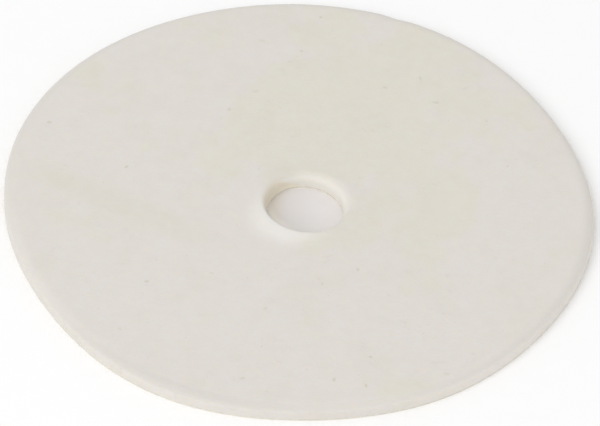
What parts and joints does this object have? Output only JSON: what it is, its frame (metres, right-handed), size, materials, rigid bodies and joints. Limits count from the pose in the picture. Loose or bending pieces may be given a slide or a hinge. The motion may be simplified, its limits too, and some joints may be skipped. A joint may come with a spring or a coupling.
{
  "type": "felt polishing wheel",
  "caption": "Thin round disc of pressed wool felt with a central arbor hole, an adhesive film on its back and a paper release liner that it lifts off, for polishing stones on a flat lap.",
  "frame": {"origin": "under the middle of the disc, at the underside of the release liner, which the wheel lies on", "axes": "+Z out of the polishing face; +X in the plane of the disc, towards the side that the arbor hole is off the middle by 1.2 mm"},
  "size_m": [0.1016, 0.1016, 0.0029],
  "materials": {
    "wool_felt": "matte",
    "adhesive": "gloss",
    "liner_paper": "satin"
  },
  "bodies": {
    "liner": {"release_liner": "liner_paper"},
    "wheel": {"felt_disc": "wool_felt", "adhesive_film": "adhesive"}
  },
  "joints": [
    {"name": "wheel_lift", "type": "slide", "parent": "liner", "child": "wheel", "axis": [0, 0, 1], "range_m": [0, 0.03]}
  ]
}
